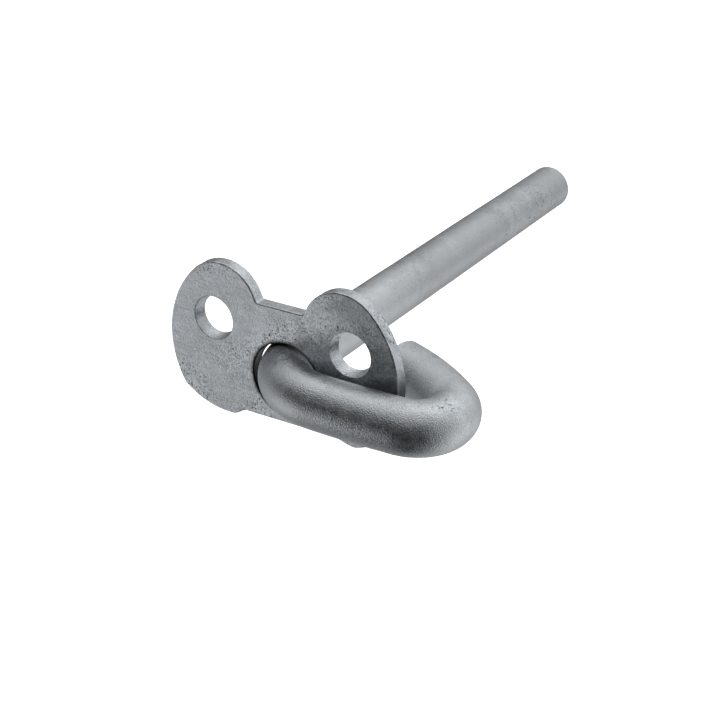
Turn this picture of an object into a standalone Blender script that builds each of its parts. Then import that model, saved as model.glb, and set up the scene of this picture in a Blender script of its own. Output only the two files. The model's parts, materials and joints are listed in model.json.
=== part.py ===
"""Roof anchor: a round bar bent into an eye, which turns in a loose two-hole fixing plate.

Frame: metres, +Z up. The origin is on the plate's back face, midway between the two screw holes.
+Y runs from the plate's front face to its back and on along the bar's shank, and +X points to the eye.
"""
from math import acos, atan2, ceil, cos, pi, radians, sin, sqrt

import bmesh
import bpy
from mathutils import Matrix, Vector

MM = 0.001

# Fixing plate: a stamped blank that stands in the XZ plane, mirrored about X = 0 but for its lobes.
PLATE_THICKNESS = 4.0 * MM
PLATE_FRONT_Y = -PLATE_THICKNESS
PLATE_EDGE_ROUNDING = 0.3 * MM
EAR_CENTRE = (20.7 * MM, 5.0 * MM)
EAR_RADIUS = 13.0 * MM
FLANK_RADIUS = 31.4 * MM
CORNER_RADIUS = 7.2 * MM
LOBE_RADIUS = 25.6 * MM
EAR_TO_FLANK = radians(46.0)
FLANK_TO_CORNER = radians(-27.5)
CORNER_TO_LOBE = radians(-55.0)
RECESS_FLOOR_Z = 8.4 * MM
RECESS_FILLET = 1.2 * MM
BOTTOM_EDGE_Z = -27.7 * MM
LEFT_LOBE_END_X = 17.5 * MM
LEFT_EDGE_END_X = 12.3 * MM
RIGHT_LOBE_END_X = 25.0 * MM
RIGHT_EDGE_END_X = 17.3 * MM

# Screw holes: they taper from the plate's front face to its back face.
SCREW_HOLE_SPACING = 46.7 * MM
SCREW_HOLE_FRONT_RADIUS = 6.85 * MM
SCREW_HOLE_BACK_RADIUS = 5.95 * MM
CUTTER_OVERSHOOT = 2.0 * MM

# The hole that the bar turns in. Its centre is the swivel axis.
BAR_HOLE_RADIUS = 11.1 * MM
SWIVEL_X = 1.7 * MM
SWIVEL_Z = -13.4 * MM

# Bar: one round bar. The shank runs along Y, and the bends lie in one plane through the shank.
BAR_RADIUS = 8.0 * MM
BAR_END_CHAMFER = 0.3 * MM
SHANK_X = -0.3 * MM
SHANK_Z = -10.85 * MM
SHANK_END_Y = PLATE_FRONT_Y + 182.9 * MM
SHANK_BEND_Y = PLATE_FRONT_Y + 8.8 * MM
SHANK_BEND_RADIUS = 18.9 * MM
SHANK_BEND_ANGLE = radians(90.0)
FRONT_RUN_LENGTH = 26.0 * MM
FRONT_RUN_ANGLE = radians(5.6)
EYE_BEND_RADIUS = 10.6 * MM
EYE_BEND_ANGLE = radians(135.0)
RETURN_RUN_LENGTH = 26.0 * MM
RETURN_RUN_ANGLE = radians(20.7)
EYE_DROOP = radians(1.7)

# How finely the round shapes are divided.
OUTLINE_STEP = radians(4.5)
BAR_STEP = radians(5.0)
RAMP_STEPS = 6
HOLE_SIDES = 56
BAR_SIDES = 36
END_CHAMFER_SEGMENTS = 3

ZINC_COLOUR = (0.30, 0.315, 0.33, 1.0)
ZINC_ROUGHNESS = 0.55
ZINC_METALLIC = 0.75
MERGE_DISTANCE = 0.00001


def clear_scene():
    for obj in list(bpy.data.objects):
        bpy.data.objects.remove(obj, do_unlink=True)


def new_collection(name):
    collection = bpy.data.collections.new(name)
    bpy.context.scene.collection.children.link(collection)
    return collection


def zinc_material(name):
    material = bpy.data.materials.new(name)
    material.use_nodes = True
    shader = material.node_tree.nodes["Principled BSDF"]
    shader.inputs["Base Color"].default_value = ZINC_COLOUR
    shader.inputs["Roughness"].default_value = ZINC_ROUGHNESS
    shader.inputs["Metallic"].default_value = ZINC_METALLIC
    return material


def arc(centre, radius, start, end, step=OUTLINE_STEP):
    """Points of an arc, from its start angle up to but not including its end angle."""
    count = max(1, ceil(abs(end - start) / step))
    angles = [start + (end - start) * i / count for i in range(count)]
    return [(centre[0] + radius * cos(a), centre[1] + radius * sin(a)) for a in angles]


def next_centre(centre, radius, angle, next_radius):
    """Centre of an arc of next_radius that runs on smoothly from another arc at an angle."""
    reach = radius - next_radius
    return (centre[0] + reach * cos(angle), centre[1] + reach * sin(angle))


def lobe_ramp(edge_x, lobe_x, lobe_z):
    """Points of the smooth step from the foot of a lobe up to the straight bottom edge."""
    points = []
    for i in range(RAMP_STEPS + 1):
        share = i / RAMP_STEPS
        drop = (1.0 + cos(pi * share)) / 2.0
        x = lobe_x + (edge_x - lobe_x) * share
        z = BOTTOM_EDGE_Z + (lobe_z - BOTTOM_EDGE_Z) * drop
        points.append((x, z))
    return points


def half_outline(edge_x, lobe_x):
    """Right half of the plate's outline, clockwise from the recess to the bottom edge."""
    fillet_z = RECESS_FLOOR_Z + RECESS_FILLET
    rise = fillet_z - EAR_CENTRE[1]
    fillet_x = EAR_CENTRE[0] - sqrt((EAR_RADIUS + RECESS_FILLET) ** 2 - rise ** 2)
    ear_start = atan2(rise, fillet_x - EAR_CENTRE[0])
    points = arc((fillet_x, fillet_z), RECESS_FILLET, -pi / 2, ear_start - pi, step=radians(20.0))

    flank = next_centre(EAR_CENTRE, EAR_RADIUS, EAR_TO_FLANK, FLANK_RADIUS)
    corner = next_centre(flank, FLANK_RADIUS, FLANK_TO_CORNER, CORNER_RADIUS)
    lobe = next_centre(corner, CORNER_RADIUS, CORNER_TO_LOBE, LOBE_RADIUS)
    lobe_end = -acos((lobe_x - lobe[0]) / LOBE_RADIUS)
    points += arc(EAR_CENTRE, EAR_RADIUS, ear_start, EAR_TO_FLANK)
    points += arc(flank, FLANK_RADIUS, EAR_TO_FLANK, FLANK_TO_CORNER, step=OUTLINE_STEP / 2)
    points += arc(corner, CORNER_RADIUS, FLANK_TO_CORNER, CORNER_TO_LOBE, step=OUTLINE_STEP * 2)
    points += arc(lobe, LOBE_RADIUS, CORNER_TO_LOBE, lobe_end, step=OUTLINE_STEP / 2)
    points += lobe_ramp(edge_x, lobe_x, lobe[1] + LOBE_RADIUS * sin(lobe_end))
    return points


def plate_outline():
    right = half_outline(RIGHT_EDGE_END_X, RIGHT_LOBE_END_X)
    left = half_outline(LEFT_EDGE_END_X, LEFT_LOBE_END_X)
    return right + [(-x, z) for x, z in reversed(left)]


def add_spline(curve, points, cyclic):
    spline = curve.splines.new("POLY")
    spline.points.add(len(points) - 1)
    for point, co in zip(spline.points, points):
        point.co = (*co, 1.0)
    spline.use_cyclic_u = cyclic


def mesh_from_curve(name, curve, matrix, collection):
    """A closed mesh object made from a curve, with the curve's caps welded on."""
    guide = bpy.data.objects.new(name + "_curve", curve)
    collection.objects.link(guide)
    bpy.context.view_layer.update()
    evaluated = guide.evaluated_get(bpy.context.evaluated_depsgraph_get())
    mesh = bpy.data.meshes.new_from_object(evaluated)
    bpy.data.objects.remove(guide)

    bm = bmesh.new()
    bm.from_mesh(mesh)
    bmesh.ops.remove_doubles(bm, verts=bm.verts, dist=MERGE_DISTANCE)
    bmesh.ops.transform(bm, matrix=matrix, verts=bm.verts)
    bmesh.ops.recalc_face_normals(bm, faces=bm.faces)
    bm.to_mesh(mesh)
    bm.free()
    mesh.name = name
    obj = bpy.data.objects.new(name, mesh)
    collection.objects.link(obj)
    return obj


def shade_round(obj, sharp_angle=radians(35.0)):
    obj.data.shade_smooth()
    obj.data.set_sharp_from_angle(angle=sharp_angle)


def screw_hole_cutter(name, x, collection):
    """A turned, tapered cutter along Y, which reaches past both faces of the plate."""
    taper = (SCREW_HOLE_FRONT_RADIUS - SCREW_HOLE_BACK_RADIUS) / PLATE_THICKNESS
    profile = [
        (0.0, CUTTER_OVERSHOOT),
        (SCREW_HOLE_FRONT_RADIUS + taper * CUTTER_OVERSHOOT, CUTTER_OVERSHOOT),
        (SCREW_HOLE_BACK_RADIUS - taper * CUTTER_OVERSHOOT, -PLATE_THICKNESS - CUTTER_OVERSHOOT),
        (0.0, -PLATE_THICKNESS - CUTTER_OVERSHOOT),
    ]

    mesh = bpy.data.meshes.new(name)
    edges = [(i, i + 1) for i in range(len(profile) - 1)]
    mesh.from_pydata([(r, 0.0, h) for r, h in profile], edges, [])
    cutter = bpy.data.objects.new(name, mesh)
    collection.objects.link(cutter)
    turned = cutter.modifiers.new("Turned", "SCREW")
    turned.steps = HOLE_SIDES
    turned.render_steps = HOLE_SIDES
    turned.use_merge_vertices = True
    turned.merge_threshold = MERGE_DISTANCE
    cutter.location = (x, PLATE_FRONT_Y, 0.0)
    cutter.rotation_euler = (pi / 2, 0.0, 0.0)
    cutter.display_type = "WIRE"
    cutter.hide_render = True
    return cutter


def fixing_plate(parts, cutters):
    """The plate: its outline and bar hole as one flat shape, then two screw holes cut through it."""
    curve = bpy.data.curves.new("fixing_plate", "CURVE")
    curve.dimensions = "2D"
    curve.fill_mode = "BOTH"
    curve.bevel_depth = PLATE_EDGE_ROUNDING
    curve.bevel_resolution = 1
    curve.offset = -PLATE_EDGE_ROUNDING
    curve.extrude = PLATE_THICKNESS / 2 - PLATE_EDGE_ROUNDING
    add_spline(curve, [(x, z, 0.0) for x, z in plate_outline()], cyclic=True)
    hole = arc((SWIVEL_X, SWIVEL_Z), BAR_HOLE_RADIUS, 0.0, 2 * pi, step=2 * pi / HOLE_SIDES)
    add_spline(curve, [(x, z, 0.0) for x, z in hole], cyclic=True)

    upright = Matrix.Translation((0.0, PLATE_FRONT_Y / 2, 0.0)) @ Matrix.Rotation(pi / 2, 4, "X")
    plate = mesh_from_curve("fixing_plate", curve, upright, parts)
    for side, name in ((-1, "left_screw_hole"), (1, "right_screw_hole")):
        cut = plate.modifiers.new(name, "BOOLEAN")
        cut.operation = "DIFFERENCE"
        cut.solver = "EXACT"
        cut.object = screw_hole_cutter(name + "_cutter", side * SCREW_HOLE_SPACING / 2, cutters)
    plate.data.materials.append(zinc_material("plate_zinc"))
    shade_round(plate)
    return plate


def bar_path():
    """Centre line of the bar, from the shank's far end through both bends to the cut end.

    It is walked in a flat frame: u points from the shank to the eye, and v along +Y.
    """
    sections = (
        (SHANK_END_Y - SHANK_BEND_Y, 0.0),
        (SHANK_BEND_RADIUS * SHANK_BEND_ANGLE, SHANK_BEND_ANGLE),
        (FRONT_RUN_LENGTH, FRONT_RUN_ANGLE),
        (EYE_BEND_RADIUS * EYE_BEND_ANGLE, EYE_BEND_ANGLE),
        (RETURN_RUN_LENGTH, RETURN_RUN_ANGLE),
    )
    u = 0.0
    v = SHANK_END_Y
    heading = -pi / 2
    flat = [(u, v)]
    for length, turn in sections:
        steps = max(3, ceil(turn / BAR_STEP))
        chord = length / steps
        if turn:
            half_step = turn / steps / 2
            chord *= sin(half_step) / half_step
        for _ in range(steps):
            heading += turn / steps / 2
            u += chord * cos(heading)
            v += chord * sin(heading)
            heading += turn / steps / 2
            flat.append((u, v))
    across = Vector((cos(EYE_DROOP), 0.0, -sin(EYE_DROOP)))
    shank = Vector((SHANK_X, 0.0, SHANK_Z))
    return [shank + across * u + Vector((0.0, v, 0.0)) for u, v in flat]


def eye_bar(parts, swivel):
    """The bar, with its origin on the swivel axis."""
    curve = bpy.data.curves.new("eye_bar", "CURVE")
    curve.dimensions = "3D"
    curve.bevel_depth = BAR_RADIUS
    curve.bevel_resolution = BAR_SIDES // 2 - 2
    curve.use_fill_caps = True
    add_spline(curve, [tuple(point) for point in bar_path()], cyclic=False)

    to_swivel = Matrix.Translation(-swivel.location)
    bar = mesh_from_curve("eye_bar", curve, to_swivel, parts)
    bar.parent = swivel
    chamfer = bar.modifiers.new("End chamfer", "BEVEL")
    chamfer.width = BAR_END_CHAMFER
    chamfer.segments = END_CHAMFER_SEGMENTS
    chamfer.limit_method = "ANGLE"
    chamfer.angle_limit = radians(60.0)
    bar.data.materials.append(zinc_material("bar_zinc"))
    shade_round(bar)
    return bar


def swivel_axis(parts):
    """The empty that the bar turns on. Its axis runs along Y through the bar hole's centre."""
    swivel = bpy.data.objects.new("swivel_axis", None)
    swivel.location = (SWIVEL_X, PLATE_FRONT_Y / 2, SWIVEL_Z)
    swivel.empty_display_size = BAR_RADIUS
    parts.objects.link(swivel)
    return swivel


def build():
    clear_scene()
    parts = new_collection("Roof anchor")
    cutters = new_collection("Cutters")
    fixing_plate(parts, cutters)
    eye_bar(parts, swivel_axis(parts))
    bpy.context.view_layer.update()


build()
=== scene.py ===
"""Looks of the roof anchor: its galvanised surfaces, the studio light, the floor and the camera."""
import json
from math import acos, atan2, ceil, cos, hypot, pi, radians, sin, sqrt

import bmesh
import bpy
from mathutils import Matrix, Vector, noise


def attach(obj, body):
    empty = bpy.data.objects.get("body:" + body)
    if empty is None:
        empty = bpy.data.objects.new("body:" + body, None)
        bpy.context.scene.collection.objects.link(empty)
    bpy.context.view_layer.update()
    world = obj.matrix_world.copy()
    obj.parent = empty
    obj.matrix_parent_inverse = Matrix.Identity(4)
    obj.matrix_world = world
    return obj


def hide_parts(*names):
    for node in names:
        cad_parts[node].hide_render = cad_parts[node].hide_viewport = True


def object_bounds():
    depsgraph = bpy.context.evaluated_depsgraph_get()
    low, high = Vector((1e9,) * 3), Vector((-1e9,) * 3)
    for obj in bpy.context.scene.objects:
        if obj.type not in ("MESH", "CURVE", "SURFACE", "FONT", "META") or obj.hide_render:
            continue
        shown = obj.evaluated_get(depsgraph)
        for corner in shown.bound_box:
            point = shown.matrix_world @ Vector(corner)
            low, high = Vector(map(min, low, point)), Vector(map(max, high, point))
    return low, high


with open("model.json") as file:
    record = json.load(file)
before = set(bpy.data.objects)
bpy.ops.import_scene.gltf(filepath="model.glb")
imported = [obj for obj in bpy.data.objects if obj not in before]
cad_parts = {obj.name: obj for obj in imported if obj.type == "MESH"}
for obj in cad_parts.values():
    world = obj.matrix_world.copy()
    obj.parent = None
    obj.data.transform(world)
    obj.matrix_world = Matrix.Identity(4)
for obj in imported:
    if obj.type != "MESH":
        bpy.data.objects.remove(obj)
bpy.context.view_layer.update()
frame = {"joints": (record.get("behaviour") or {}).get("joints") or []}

# Camera, as seen from its aim: angles in degrees and lengths in metres. The aim is measured from the
# swivel joint.
CAMERA_AZIMUTH = 31.557
CAMERA_ELEVATION = 25.965
CAMERA_ROLL = 0.232
CAMERA_DISTANCE = 0.4385
CAMERA_LENS_MM = 77.96
CAMERA_SENSOR_MM = 36.0
CAMERA_CLIP = (0.01, 100.0)
AIM_FROM_SWIVEL = Vector((0.01408, 0.01113, 0.00732))

MM = 0.001

# Plate: the CAD part's dimensions, with finer steps and rounder edges.
PLATE_THICKNESS = 4.0 * MM
PLATE_FRONT_Y = -PLATE_THICKNESS
EAR_CENTRE = (20.7 * MM, 5.0 * MM)
EAR_RADIUS = 13.0 * MM
FLANK_RADIUS = 31.4 * MM
CORNER_RADIUS = 7.2 * MM
LOBE_RADIUS = 25.6 * MM
EAR_TO_FLANK = radians(46.0)
FLANK_TO_CORNER = radians(-27.5)
CORNER_TO_LOBE = radians(-55.0)
RECESS_FLOOR_Z = 8.4 * MM
RECESS_FILLET = 1.2 * MM
BOTTOM_EDGE_Z = -27.7 * MM
LEFT_LOBE_END_X = 17.5 * MM
LEFT_EDGE_END_X = 12.3 * MM
RIGHT_LOBE_END_X = 25.0 * MM
RIGHT_EDGE_END_X = 17.3 * MM
SCREW_HOLE_SPACING = 46.7 * MM
SCREW_HOLE_FRONT_RADIUS = 6.83 * MM
SCREW_HOLE_BACK_RADIUS = 5.95 * MM
HOLE_ROUNDING = 0.12 * MM
BAR_HOLE_RADIUS = 11.1 * MM
SWIVEL_X = 1.7 * MM
SWIVEL_Z = -13.4 * MM
FRONT_ROUNDING = 0.42 * MM
BACK_ROUNDING = 0.3 * MM
ROUNDING_STEPS = 5
WALL_SHARES = (0.15, 0.5, 0.85)
OUTLINE_STEP = 0.3 * MM
EDGE_RIDGE = 0.05 * MM
HOLE_RIDGE = 0.03 * MM
RIDGE_SCALE = 1400.0
RIDGE_SEED = 7.0

# Bar: the CAD part's dimensions, with finer steps.
BAR_RADIUS = 7.97 * MM
BAR_END_ROUNDING = 0.3 * MM
SHANK_X = -0.3 * MM
SHANK_Z = -10.85 * MM
SHANK_END_Y = PLATE_FRONT_Y + 182.9 * MM
SHANK_BEND_Y = PLATE_FRONT_Y + 8.8 * MM
SHANK_BEND_RADIUS = 18.9 * MM
SHANK_BEND_ANGLE = radians(90.0)
FRONT_RUN_LENGTH = 26.0 * MM
FRONT_RUN_ANGLE = radians(5.6)
EYE_BEND_RADIUS = 10.6 * MM
EYE_BEND_ANGLE = radians(135.0)
RETURN_RUN_LENGTH = 26.0 * MM
RETURN_RUN_ANGLE = radians(20.7)
EYE_DROOP = radians(1.7)
BAR_SIDES = 96
BAR_RING_STEP = 0.9 * MM
BAR_DENT = 0.07 * MM
BAR_WAVE_SCALE = 110.0
BAR_RIPPLE_SCALE = BAR_WAVE_SCALE * 3.1
BAR_RIPPLE_SHARE = 0.5
END_STEPS = 5
END_RING_SHARES = (0.75, 0.5, 0.25)

# Zinc: the noises that it is made of, with scales in features per metre.
CLOUDS = dict(scale=70.0, detail=4.0, rough=0.6, distortion=0.8)
MOTTLE = dict(scale=380.0, detail=4.0, rough=0.7, distortion=0.6)
GRAIN = dict(scale=2400.0, detail=1.0, rough=0.5)
PATCHES = dict(scale=50.0, detail=2.0, rough=0.5)
PITS = dict(scale=1250.0, detail=2.0, rough=0.55)
PIT_CLUSTERS = dict(scale=60.0, detail=3.0, rough=0.6)
SCRATCHES = dict(scale=1.0, detail=2.0, rough=0.5)
CRYSTAL_SCALE = 420.0

# A range is the part of a noise's values that is used, and a tone is a share of the base colour.
TONE_RANGE = (0.32, 0.68)
GRAIN_RANGE = (0.3, 0.7)
PATCH_RANGE = (0.42, 0.60)
PIT_RANGE = (0.42, 0.32)
PIT_CLUSTER_RANGE = (0.50, 0.62)
SCRATCH_RANGE = (0.62, 0.70)
CLOUD_TONE = 0.12
MOTTLE_TONE = 0.16
CRYSTAL_TONE = 0.04
GRAIN_TONE = 0.20
PATCH_TONES = (0.55, 1.35)
PIT_TONE = 0.6
SCRATCH_TONE = 0.08
SCRATCH_DEPTH = 0.2
SCRATCH_SLANT = 0.6
SCRATCH_SCALE = (90.0, 90.0, 2600.0)
LONE_PITS = 0.15
PIT_ROUGHNESS = 0.2
ROUGHNESS_RANGE = (0.3, 0.7)
ROUGHNESS_SPREAD = (-0.06, 0.08)

# The plate's zinc. A fade is given by the places where it starts and ends.
PLATE_COLOUR = (0.50, 0.522, 0.543)
PLATE_ROUGHNESS = 0.36
PLATE_WAVE = 0.8
PLATE_CONTRAST = 1.0
PLATE_GRAIN = 0.07 * MM
FRONT_FACING = (-0.6, -0.95)
OFF_FRONT_TONE = 0.86
# Painted light and shade: the plate is 8% darker at its left edge and 5% lighter from the middle
# rightwards.
LEFT_LIGHT_AND_SHADE_X = (-34.0 * MM, -2.0 * MM)
LEFT_LIGHT_AND_SHADE_TONES = (0.92, 1.05)
# Painted shade: the plate's front darkens towards its right side, by up to 40%.
RIGHT_SHADE_SLANT = 0.5
RIGHT_SHADE = (15.0 * MM, 34.0 * MM)
RIGHT_SHADE_TONE = 0.40
# Painted shade: the plate darkens to near black over the last 1.5 mm round the bar's hole, and the
# hole's wall is near black.
HOLE_SHADE_RADII = (BAR_HOLE_RADIUS + 1.5 * MM, BAR_HOLE_RADIUS + 0.05 * MM)
HOLE_SHADE_TONE = 0.97

# The bar's zinc.
BAR_COLOUR = (0.46, 0.477, 0.492)
BAR_ROUGHNESS = 0.40
BAR_WAVE = 0.2
BAR_CONTRAST = 0.55
BAR_GRAIN = 0.125 * MM
# Painted shade: the shank darkens along its length, by up to 22%.
SHANK_SHADE_Y = (25.0 * MM, 95.0 * MM)
SHANK_SHADE_TONE = 0.22
SHANK_SMOOTHING_Y = (12.0 * MM, 40.0 * MM)
SHANK_GRAIN_SHARE = 0.7
# Painted shade: the bar darkens where it lies inside the plate's hole.
IN_HOLE_FRONT_Y = (-4.8 * MM, -3.2 * MM)
IN_HOLE_BACK_Y = (5.0 * MM, 2.0 * MM)
IN_HOLE_X = (18.0 * MM, 13.0 * MM)
IN_HOLE_SHADE_TONE = 0.75

# Studio light: soft glows as (azimuth, elevation, half-width, strength), with angles in degrees. They
# lie above, behind, on the right and low on the left. The camera's side is left darker.
GLOWS = (
    (0, 90, 55, 0.86),
    (140, 45, 50, 0.70),
    (178, 38, 36, 0.28),
    (205, 48, 48, 0.34),
    (249, 49, 42, 0.52),
    (20, 42, 40, 0.10),
    (100, 4, 50, 0.65),
    (140, 0, 48, 0.44),
    (185, 2, 46, 0.42),
    (262, 5, 40, 0.34),
    (288, -20, 36, 0.34),
    (311, -28, 31, 1.00),
    (95, -42, 38, 0.34),
    (135, -45, 50, 0.85),
    (235, -50, 50, 0.50),
)
GLOW_CORE = 5.0
AMBIENT = 0.042
LIGHT_COLOUR = (0.972, 0.988, 1.0, 1.0)

# Floor, far enough below the object for the eye to turn clear of it.
FLOOR_DROP = 0.5
FLOOR_SIZE = 60.0
FLOOR_COLOUR = (0.9, 0.9, 0.9, 1.0)
FLOOR_ROUGHNESS = 0.9
FLOOR_LAMP_POWER = 3.0
FLOOR_LAMP_SPREAD = radians(60.0)


def direction(azimuth, elevation):
    """Unit vector from the object. Azimuth 0 is the plate's front, and azimuth 90 is +X."""
    a = radians(azimuth)
    e = radians(elevation)
    return Vector((sin(a) * cos(e), -cos(a) * cos(e), sin(e)))


class Graph:
    """Short calls for building a node tree."""

    def __init__(self, tree):
        self.tree = tree

    def node(self, kind, inputs=(), **settings):
        node = self.tree.nodes.new(kind)
        for name, value in settings.items():
            setattr(node, name, value)
        for key, value in dict(inputs).items():
            self.put(node.inputs[key], value)
        return node

    def put(self, socket, value):
        if isinstance(value, bpy.types.NodeSocket):
            self.tree.links.new(value, socket)
        else:
            socket.default_value = value

    def math(self, operation, a, b=0.0, c=0.0):
        return self.node("ShaderNodeMath", {0: a, 1: b, 2: c}, operation=operation).outputs[0]

    def plus(self, a, b):
        return self.math("ADD", a, b)

    def minus(self, a, b):
        return self.math("SUBTRACT", a, b)

    def times(self, a, b):
        return self.math("MULTIPLY", a, b)

    def darkened(self, value, share):
        """value with a share of it taken away."""
        return self.times(value, self.minus(1.0, share))

    def coordinates(self, kind):
        return self.node("ShaderNodeTexCoord").outputs[kind]

    def axes(self, vector):
        """X, Y and Z of a vector."""
        parts = self.node("ShaderNodeSeparateXYZ", {0: vector}).outputs
        return parts["X"], parts["Y"], parts["Z"]

    def dot(self, a, b):
        node = self.node("ShaderNodeVectorMath", {0: a, 1: b}, operation="DOT_PRODUCT")
        return node.outputs["Value"]

    def ramp(self, value, low, high, to_low=0.0, to_high=1.0):
        """value eased from low..high to to_low..to_high."""
        inputs = {"Value": value, "From Min": low, "From Max": high,
                  "To Min": to_low, "To Max": to_high}
        node = self.node("ShaderNodeMapRange", inputs, interpolation_type="SMOOTHSTEP")
        return node.outputs["Result"]

    def noise(self, vector, scale, detail, rough, distortion=0.0):
        inputs = {"Vector": vector, "Scale": scale, "Detail": detail, "Roughness": rough,
                  "Distortion": distortion}
        return self.node("ShaderNodeTexNoise", inputs).outputs["Fac"]


def make_camera():
    swivel = Vector(frame["joints"][0]["pos_m"])
    back = direction(CAMERA_AZIMUTH, CAMERA_ELEVATION)
    level = back.to_track_quat("Z", "Y").to_matrix().to_4x4()
    camera = bpy.data.objects.new("camera", bpy.data.cameras.new("camera"))
    place = Matrix.Translation(swivel + AIM_FROM_SWIVEL + back * CAMERA_DISTANCE)
    camera.matrix_world = place @ level @ Matrix.Rotation(radians(CAMERA_ROLL), 4, "Z")
    camera.data.lens = CAMERA_LENS_MM
    camera.data.sensor_width = CAMERA_SENSOR_MM
    camera.data.clip_start, camera.data.clip_end = CAMERA_CLIP
    bpy.context.scene.collection.objects.link(camera)
    bpy.context.scene.camera = camera


def make_floor():
    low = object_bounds()[0]
    half = FLOOR_SIZE / 2
    mesh = bpy.data.meshes.new("floor")
    corners = [(-half, -half, 0), (half, -half, 0), (half, half, 0), (-half, half, 0)]
    mesh.from_pydata(corners, [], [(0, 1, 2, 3)])
    floor = bpy.data.objects.new("floor", mesh)
    floor.location = (0, 0, low.z - FLOOR_DROP)
    bpy.context.scene.collection.objects.link(floor)
    material = bpy.data.materials.new("floor_white")
    material.use_nodes = True
    shader = material.node_tree.nodes["Principled BSDF"]
    shader.inputs["Base Color"].default_value = FLOOR_COLOUR
    shader.inputs["Roughness"].default_value = FLOOR_ROUGHNESS
    mesh.materials.append(material)
    floor.visible_glossy = False
    floor.visible_diffuse = False
    light_floor(floor)


def light_floor(floor):
    """A soft lamp for the floor alone, so that it stays an even white."""
    lamp = bpy.data.objects.new("floor_lamp", bpy.data.lights.new("floor_lamp", "SUN"))
    lamp.data.energy = FLOOR_LAMP_POWER
    lamp.data.angle = FLOOR_LAMP_SPREAD
    only_floor = bpy.data.collections.new("floor_only")
    only_floor.objects.link(floor)
    lamp.light_linking.receiver_collection = only_floor
    lamp.light_linking.blocker_collection = only_floor
    bpy.context.scene.collection.objects.link(lamp)


def make_world():
    """The glows light the object. The camera itself sees an even near-white behind it."""
    world = bpy.data.worlds.new("studio")
    world.use_nodes = True
    g = Graph(world.node_tree)
    background = world.node_tree.nodes["Background"]
    toward = g.coordinates("Generated")
    total = AMBIENT
    for azimuth, elevation, width, strength in GLOWS:
        cosine = g.dot(toward, direction(azimuth, elevation))
        glow = g.ramp(cosine, cos(radians(width)), cos(radians(GLOW_CORE)), 0.0, strength)
        total = g.plus(glow, total)
    seen = g.node("ShaderNodeLightPath").outputs["Is Camera Ray"]
    total = g.math("MAXIMUM", total, seen)
    g.put(background.inputs["Strength"], total)
    background.inputs["Color"].default_value = LIGHT_COLOUR
    bpy.context.scene.world = world


def new_piece(name, bm, node, body):
    """A finished mesh that stands for a CAD node and rides on its body."""
    mesh = bpy.data.meshes.new(name)
    bmesh.ops.recalc_face_normals(bm, faces=bm.faces)
    bm.to_mesh(mesh)
    bm.free()
    mesh.shade_smooth()
    piece = bpy.data.objects.new(name, mesh)
    bpy.context.scene.collection.objects.link(piece)
    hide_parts(node)
    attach(piece, body)
    return piece


def join_rings(bm, rings, closed):
    """Quads between each ring of vertices and the next."""
    for a, b in zip(rings, rings[1:]):
        count = len(a)
        for i in range(count if closed else count - 1):
            j = (i + 1) % count
            bm.faces.new((a[i], a[j], b[j], b[i]))


# ---- Bar ----

def bar_line():
    """Places along the bar's centre line as (point, tangent, side), and the way up from its bends."""
    across = Vector((cos(EYE_DROOP), 0.0, -sin(EYE_DROOP)))
    ahead = Vector((0.0, 1.0, 0.0))
    sections = (
        (SHANK_END_Y - SHANK_BEND_Y, 0.0),
        (SHANK_BEND_RADIUS * SHANK_BEND_ANGLE, SHANK_BEND_ANGLE),
        (FRONT_RUN_LENGTH, FRONT_RUN_ANGLE),
        (EYE_BEND_RADIUS * EYE_BEND_ANGLE, EYE_BEND_ANGLE),
        (RETURN_RUN_LENGTH, RETURN_RUN_ANGLE),
    )
    point = Vector((SHANK_X, SHANK_END_Y, SHANK_Z))
    heading = -pi / 2
    places = []

    def place():
        tangent = across * cos(heading) + ahead * sin(heading)
        side = ahead * cos(heading) - across * sin(heading)
        places.append((point.copy(), tangent, side))

    place()
    for length, turn in sections:
        steps = ceil(length / BAR_RING_STEP)
        chord = length / steps
        if turn:
            half_step = turn / steps / 2
            chord *= sin(half_step) / half_step
        for _ in range(steps):
            heading += turn / steps / 2
            point = point + (across * cos(heading) + ahead * sin(heading)) * chord
            heading += turn / steps / 2
            place()
    return places, across.cross(ahead)


def add_bar_ring(bm, centre, side, up, radius, dent):
    """A ring of vertices round the bar. dent is about the depth of its hollows."""
    ring = []
    for i in range(BAR_SIDES):
        turn = 2 * pi * i / BAR_SIDES
        out = side * cos(turn) + up * sin(turn)
        at = centre + out * radius
        wave = noise.noise(at * BAR_WAVE_SCALE)
        wave += BAR_RIPPLE_SHARE * noise.noise(at * BAR_RIPPLE_SCALE)
        ring.append(bm.verts.new(at - out * dent * (0.5 + 0.5 * wave)))
    return ring


def bar_end_rings(bm, centre, outward, side, up):
    """Rings from the rim of a cut end to its middle, over a rounded edge."""
    rings = []
    for i in range(1, END_STEPS + 1):
        turn = pi / 2 * i / END_STEPS
        radius = BAR_RADIUS - BAR_END_ROUNDING * (1.0 - cos(turn))
        along = BAR_END_ROUNDING * sin(turn)
        rings.append(add_bar_ring(bm, centre + outward * along, side, up, radius, 0.0))
    flat = centre + outward * BAR_END_ROUNDING
    flat_radius = BAR_RADIUS - BAR_END_ROUNDING
    for share in END_RING_SHARES:
        rings.append(add_bar_ring(bm, flat, side, up, flat_radius * share, 0.0))
    return rings


def close_ring(bm, ring):
    """A fan of triangles from a ring to its middle."""
    middle = Vector((0, 0, 0))
    for vert in ring:
        middle += vert.co / len(ring)
    hub = bm.verts.new(middle)
    for i, vert in enumerate(ring):
        bm.faces.new((vert, ring[(i + 1) % len(ring)], hub))


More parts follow.
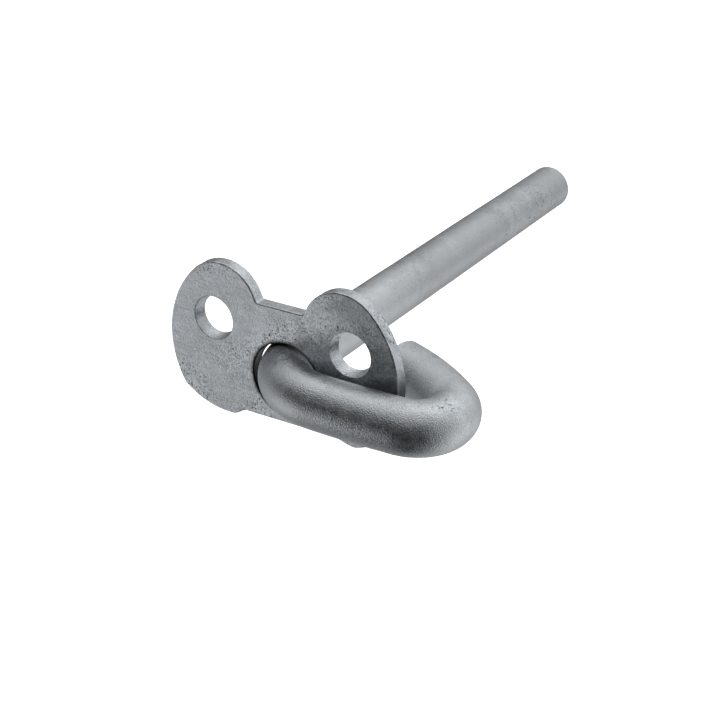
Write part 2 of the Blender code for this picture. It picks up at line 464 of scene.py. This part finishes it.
def build_bar():
    places, up = bar_line()
    bm = bmesh.new()
    start, tangent, side = places[0]
    start = start + tangent * BAR_END_ROUNDING
    head = bar_end_rings(bm, start, -tangent, side, up)
    rings = head[::-1]
    rings.append(add_bar_ring(bm, start, side, up, BAR_RADIUS, 0.0))
    for centre, _, side in places[1:-1]:
        rings.append(add_bar_ring(bm, centre, side, up, BAR_RADIUS, BAR_DENT))
    end, tangent, side = places[-1]
    end = end - tangent * BAR_END_ROUNDING
    rings.append(add_bar_ring(bm, end, side, up, BAR_RADIUS, 0.0))
    rings += bar_end_rings(bm, end, tangent, side, up)
    join_rings(bm, rings, closed=True)
    close_ring(bm, rings[0])
    close_ring(bm, rings[-1])
    return new_piece("galvanised_bar", bm, "eye_bar", "eye_bar")


# ---- Plate ----

def arc(centre, radius, start, end):
    """Points of an arc, from its start angle up to but not including its end angle."""
    count = max(2, ceil(abs(end - start) * radius / OUTLINE_STEP))
    angles = [start + (end - start) * i / count for i in range(count)]
    return [(centre[0] + radius * cos(a), centre[1] + radius * sin(a)) for a in angles]


def next_centre(centre, radius, angle, next_radius):
    """Centre of an arc of next_radius that runs on smoothly from another arc at an angle."""
    reach = radius - next_radius
    return (centre[0] + reach * cos(angle), centre[1] + reach * sin(angle))


def half_outline(edge_x, lobe_x):
    """Right half of the plate's outline, clockwise from the recess to the bottom edge."""
    fillet_z = RECESS_FLOOR_Z + RECESS_FILLET
    rise = fillet_z - EAR_CENTRE[1]
    fillet_x = EAR_CENTRE[0] - sqrt((EAR_RADIUS + RECESS_FILLET) ** 2 - rise ** 2)
    ear_start = atan2(rise, fillet_x - EAR_CENTRE[0])
    recess_steps = ceil(fillet_x / OUTLINE_STEP)
    points = [(fillet_x * (i + 0.5) / recess_steps, RECESS_FLOOR_Z) for i in range(recess_steps)]
    points += arc((fillet_x, fillet_z), RECESS_FILLET, -pi / 2, ear_start - pi)

    flank = next_centre(EAR_CENTRE, EAR_RADIUS, EAR_TO_FLANK, FLANK_RADIUS)
    corner = next_centre(flank, FLANK_RADIUS, FLANK_TO_CORNER, CORNER_RADIUS)
    lobe = next_centre(corner, CORNER_RADIUS, CORNER_TO_LOBE, LOBE_RADIUS)
    lobe_end = -acos((lobe_x - lobe[0]) / LOBE_RADIUS)
    points += arc(EAR_CENTRE, EAR_RADIUS, ear_start, EAR_TO_FLANK)
    points += arc(flank, FLANK_RADIUS, EAR_TO_FLANK, FLANK_TO_CORNER)
    points += arc(corner, CORNER_RADIUS, FLANK_TO_CORNER, CORNER_TO_LOBE)
    points += arc(lobe, LOBE_RADIUS, CORNER_TO_LOBE, lobe_end)
    foot = lobe[1] + LOBE_RADIUS * sin(lobe_end)
    ramp_steps = ceil((lobe_x - edge_x) / OUTLINE_STEP)
    for i in range(ramp_steps):
        share = i / ramp_steps
        drop = (1.0 + cos(pi * share)) / 2.0
        x = lobe_x + (edge_x - lobe_x) * share
        points.append((x, BOTTOM_EDGE_Z + (foot - BOTTOM_EDGE_Z) * drop))
    edge_steps = ceil(edge_x / OUTLINE_STEP)
    points += [(edge_x * (1 - i / edge_steps), BOTTOM_EDGE_Z) for i in range(edge_steps)]
    return points


def plate_outline():
    right = half_outline(RIGHT_EDGE_END_X, RIGHT_LOBE_END_X) + [(0.0, BOTTOM_EDGE_Z)]
    left = half_outline(LEFT_EDGE_END_X, LEFT_LOBE_END_X)
    return right + [(-x, z) for x, z in reversed(left)]


def wall_profile(front_rounding, back_rounding, taper=0.0):
    """Points (set back into the steel, depth, share of ridges) across the plate's thickness.

    taper is how much further back the front is than the back.
    """
    profile = []
    for i in range(ROUNDING_STEPS + 1):
        turn = pi / 2 * i / ROUNDING_STEPS
        profile.append((front_rounding * (1 - sin(turn)), front_rounding * (1 - cos(turn)), 0.0))
    for share in WALL_SHARES:
        depth = front_rounding + (PLATE_THICKNESS - back_rounding - front_rounding) * share
        profile.append((0.0, depth, 1.0))
    for i in range(ROUNDING_STEPS + 1):
        turn = pi / 2 * i / ROUNDING_STEPS
        depth = PLATE_THICKNESS - back_rounding * (1 - sin(turn))
        profile.append((back_rounding * (1 - cos(turn)), depth, 0.0))
    return [(inset + taper * (1 - depth / PLATE_THICKNESS), depth, ridged)
            for inset, depth, ridged in profile]


def add_wall(bm, loop, into, profile, ridge):
    """Adds the wall round a loop of the plate, and gives its front and back rings of vertices.

    into holds the way into the steel at each point, and ridge is the depth of the wall's ridges.
    """
    rings = []
    for inset, depth, ridged in profile:
        ring = []
        for i, (x, z) in enumerate(loop):
            along = Vector((x * RIDGE_SCALE, RIDGE_SEED, z * RIDGE_SCALE))
            mark = 0.5 + 0.5 * noise.noise(along) if ridged else 0.0
            back = inset + ridge * ridged * mark
            way_x, way_z = into[i]
            ring.append(bm.verts.new((x + way_x * back, PLATE_FRONT_Y + depth, z + way_z * back)))
        rings.append(ring)
    join_rings(bm, rings, closed=True)
    return rings[0], rings[-1]


def outline_into(loop):
    """Unit vectors into the steel at the points of an outline that runs clockwise."""
    ways = []
    for i in range(len(loop)):
        ax, az = loop[i - 1]
        bx, bz = loop[(i + 1) % len(loop)]
        size = hypot(bx - ax, bz - az)
        ways.append(((bz - az) / size, -(bx - ax) / size))
    return ways


def circle(x, z, radius):
    count = ceil(2 * pi * radius / OUTLINE_STEP)
    turns = [2 * pi * i / count for i in range(count)]
    return [(x + radius * cos(turn), z + radius * sin(turn)) for turn in turns]


def fill_face(bm, loops):
    """Fills the flat region between loops of vertices, and keeps its rim a crisp line for shading."""
    edges = []
    for loop in loops:
        for i, vert in enumerate(loop):
            edge = bm.edges.get((vert, loop[(i + 1) % len(loop)]))
            edge.smooth = False
            edges.append(edge)
    bmesh.ops.triangle_fill(bm, edges=edges, use_beauty=True)


def build_plate():
    bm = bmesh.new()
    outer = plate_outline()
    rim = wall_profile(FRONT_ROUNDING, BACK_ROUNDING)
    walls = [add_wall(bm, outer, outline_into(outer), rim, EDGE_RIDGE)]
    taper = SCREW_HOLE_FRONT_RADIUS - SCREW_HOLE_BACK_RADIUS
    tapered = wall_profile(HOLE_ROUNDING, HOLE_ROUNDING, taper)
    straight = wall_profile(BACK_ROUNDING, BACK_ROUNDING)
    for x, z, radius, profile in (
        (-SCREW_HOLE_SPACING / 2, 0.0, SCREW_HOLE_BACK_RADIUS, tapered),
        (SCREW_HOLE_SPACING / 2, 0.0, SCREW_HOLE_BACK_RADIUS, tapered),
        (SWIVEL_X, SWIVEL_Z, BAR_HOLE_RADIUS, straight),
    ):
        loop = circle(x, z, radius)
        into = [((px - x) / radius, (pz - z) / radius) for px, pz in loop]
        walls.append(add_wall(bm, loop, into, profile, HOLE_RIDGE))
    fill_face(bm, [front for front, _ in walls])
    fill_face(bm, [back for _, back in walls])
    return new_piece("galvanised_plate", bm, "fixing_plate", "fixing_plate")


def zinc(name, roughness, wave, contrast):
    """Hot-dip galvanised steel: cloudy grey with fine crystals, a sandy grain and small dark pits.

    wave is the mottle's share of the surface's height, and contrast is the strength of the tones.
    """
    material = bpy.data.materials.new(name)
    material.use_nodes = True
    g = Graph(material.node_tree)
    at = g.coordinates("Object")
    clouds = g.noise(at, **CLOUDS)
    mottle = g.noise(at, **MOTTLE)
    crystals = g.node("ShaderNodeTexVoronoi", {"Vector": at, "Scale": CRYSTAL_SCALE, "Randomness": 1.0})
    crystal = g.node("ShaderNodeSeparateColor", {0: crystals.outputs["Color"]}).outputs[0]
    grain = g.noise(at, **GRAIN)
    cluster = g.ramp(g.noise(at, **PIT_CLUSTERS), *PIT_CLUSTER_RANGE)
    pits = g.ramp(g.noise(at, **PITS), *PIT_RANGE)
    pits = g.times(pits, g.math("MULTIPLY_ADD", cluster, 1.0 - LONE_PITS, LONE_PITS))

    tone = g.ramp(clouds, *TONE_RANGE, -CLOUD_TONE, CLOUD_TONE)
    tone = g.plus(tone, g.ramp(mottle, *TONE_RANGE, -MOTTLE_TONE, MOTTLE_TONE))
    tone = g.plus(tone, g.ramp(crystal, 0.0, 1.0, -CRYSTAL_TONE, CRYSTAL_TONE))
    tone = g.plus(tone, g.ramp(grain, *GRAIN_RANGE, -GRAIN_TONE, GRAIN_TONE))
    tone = g.minus(tone, g.times(pits, PIT_TONE))
    patch = g.ramp(g.noise(at, **PATCHES), *PATCH_RANGE, *PATCH_TONES)
    value = g.math("MULTIPLY_ADD", tone, g.times(patch, contrast), 1.0)

    height = g.plus(grain, g.times(mottle, wave))
    height = g.minus(height, g.times(pits, contrast))
    smoothest, roughest = (roughness + change for change in ROUGHNESS_SPREAD)
    rough = g.ramp(mottle, *ROUGHNESS_RANGE, smoothest, roughest)
    rough = g.plus(rough, g.times(pits, PIT_ROUGHNESS))
    return material, g, at, value, height, rough


def finish_zinc(material, g, colour, value, height, rough, depth):
    """Sets the metal's colour, roughness and relief. depth is the relief's depth in metres."""
    shader = material.node_tree.nodes["Principled BSDF"]
    tinted = g.node("ShaderNodeVectorMath", {0: colour, "Scale": value}, operation="SCALE")
    g.put(shader.inputs["Base Color"], tinted.outputs["Vector"])
    shader.inputs["Metallic"].default_value = 1.0
    g.put(shader.inputs["Roughness"], rough)
    bump = g.node("ShaderNodeBump", {"Height": height, "Strength": 1.0, "Distance": depth})
    g.put(shader.inputs["Normal"], bump.outputs["Normal"])
    return material


def plate_zinc():
    """Zinc with slanted scratches. Light and shade are painted on: darker at the left edge and lighter
    from the middle, darker towards the right side, and dark round the bar's hole.
    """
    material, g, at, value, height, rough = zinc(
        "plate_zinc", PLATE_ROUGHNESS, PLATE_WAVE, PLATE_CONTRAST)
    x, _, z = g.axes(at)
    _, facing, _ = g.axes(g.coordinates("Normal"))
    on_front = g.ramp(facing, *FRONT_FACING)

    slanted = g.node("ShaderNodeMapping", {"Vector": at, "Rotation": (0.0, SCRATCH_SLANT, 0.0),
                                           "Scale": SCRATCH_SCALE}).outputs["Vector"]
    scratch = g.ramp(g.noise(slanted, **SCRATCHES), *SCRATCH_RANGE)
    value = g.minus(value, g.times(scratch, SCRATCH_TONE))
    height = g.minus(height, g.times(scratch, SCRATCH_DEPTH))

    value = g.times(value, g.ramp(on_front, 0.0, 1.0, OFF_FRONT_TONE, 1.0))
    # painted light and shade: darker at the left edge, lighter from the middle
    value = g.times(value, g.ramp(x, *LEFT_LIGHT_AND_SHADE_X, *LEFT_LIGHT_AND_SHADE_TONES))
    # painted shade on the front, darker towards the right side
    along = g.math("MULTIPLY_ADD", z, RIGHT_SHADE_SLANT, x)
    value = g.darkened(value, g.times(g.ramp(along, *RIGHT_SHADE, 0.0, RIGHT_SHADE_TONE), on_front))

    # painted shade round the bar's hole and on its wall
    across = g.math("POWER", g.minus(x, SWIVEL_X), 2.0)
    up = g.math("POWER", g.minus(z, SWIVEL_Z), 2.0)
    from_axis = g.math("SQRT", g.plus(across, up))
    value = g.darkened(value, g.ramp(from_axis, *HOLE_SHADE_RADII, 0.0, HOLE_SHADE_TONE))
    return finish_zinc(material, g, PLATE_COLOUR, value, height, rough, PLATE_GRAIN)


def bar_zinc():
    """Zinc that is sandier on the bends, with painted shade that darkens it along the shank and inside
    the plate's hole.
    """
    material, g, at, value, height, rough = zinc(
        "bar_zinc", BAR_ROUGHNESS, BAR_WAVE, BAR_CONTRAST)
    x, y, _ = g.axes(at)
    # painted shade along the shank
    value = g.darkened(value, g.ramp(y, *SHANK_SHADE_Y, 0.0, SHANK_SHADE_TONE))
    height = g.times(height, g.ramp(y, *SHANK_SMOOTHING_Y, 1.0, SHANK_GRAIN_SHARE))
    # painted shade on the bar inside the plate's hole
    in_hole_shade = g.times(g.ramp(y, *IN_HOLE_FRONT_Y), g.ramp(y, *IN_HOLE_BACK_Y))
    in_hole_shade = g.times(in_hole_shade, g.ramp(x, *IN_HOLE_X, 0.0, IN_HOLE_SHADE_TONE))
    value = g.darkened(value, in_hole_shade)
    return finish_zinc(material, g, BAR_COLOUR, value, height, rough, BAR_GRAIN)


def make_pieces():
    build_plate().data.materials.append(plate_zinc())
    build_bar().data.materials.append(bar_zinc())


make_camera()
make_floor()
make_world()
make_pieces()
bpy.context.scene.view_settings.view_transform = "Standard"
